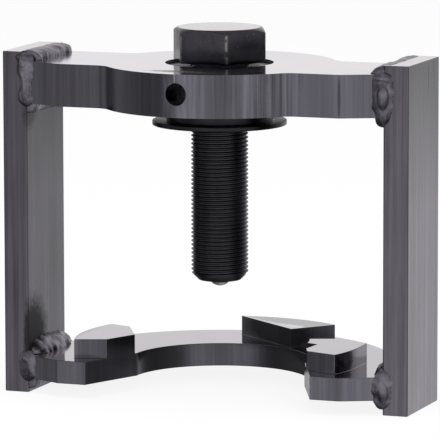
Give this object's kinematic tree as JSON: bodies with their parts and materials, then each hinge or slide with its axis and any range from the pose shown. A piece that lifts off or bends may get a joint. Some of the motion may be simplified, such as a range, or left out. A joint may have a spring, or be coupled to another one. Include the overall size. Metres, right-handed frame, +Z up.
{
  "type": "brake arm puller",
  "caption": "Welded steel puller: a crosshead with a hex-headed forcing screw stands on two side bars over an open horseshoe yoke with raised jaws.",
  "frame": {"origin": "on the axis of the forcing screw, at the level of the feet", "axes": "+Z up along the screw, +X from the left side bar to the right one, the mouth of the yoke opens towards -Y"},
  "size_m": [0.1906, 0.1291, 0.1659],
  "materials": {
    "bar_steel": "dark hot-rolled bar, satin, fine lengthwise streaks",
    "plate_steel": "dark flame-cut plate, satin top, vertically streaked edges",
    "milled_steel": "dark plate, milled floor and jaws, satin",
    "weld_metal": "rippled weld metal, darker at its toes",
    "bushing_steel": "turned and blackened",
    "lock_screw_steel": "black oxide",
    "screw_steel": "black oxide, oily",
    "ball_steel": "polished hard steel"
  },
  "bodies": {
    "frame": {"left_bar": "bar_steel", "right_bar": "bar_steel", "crosshead": "plate_steel", "yoke": "milled_steel", "crosshead_left_top_weld": "weld_metal", "crosshead_left_bottom_weld": "weld_metal", "crosshead_left_front_weld": "weld_metal", "crosshead_left_back_weld": "weld_metal", "crosshead_right_top_weld": "weld_metal", "crosshead_right_bottom_weld": "weld_metal", "crosshead_right_front_weld": "weld_metal", "crosshead_right_back_weld": "weld_metal", "yoke_left_top_weld": "weld_metal", "yoke_left_bottom_weld": "weld_metal", "yoke_left_front_weld": "weld_metal", "yoke_left_back_weld": "weld_metal", "yoke_right_top_weld": "weld_metal", "yoke_right_bottom_weld": "weld_metal", "yoke_right_front_weld": "weld_metal", "yoke_right_back_weld": "weld_metal", "threaded_bushing": "bushing_steel", "lock_screw": "lock_screw_steel"},
    "tip": {"tip_ball": "ball_steel"},
    "screw": {"forcing_screw": "screw_steel"}
  },
  "joints": [
    {"name": "screw_feed", "type": "slide", "parent": "frame", "child": "tip", "axis": [0, 0, 1], "range_m": [-0.00193, 0.06894]},
    {"name": "screw_turn", "type": "hinge", "parent": "tip", "child": "screw", "pos_m": [0, 0, 0.0555], "axis": [0, 0, 1], "range_deg": [-384, 13680]}
  ],
  "couplings": [
    {"joint": "screw_turn", "follows": "screw_feed", "rad_per_m": 3463.2}
  ]
}
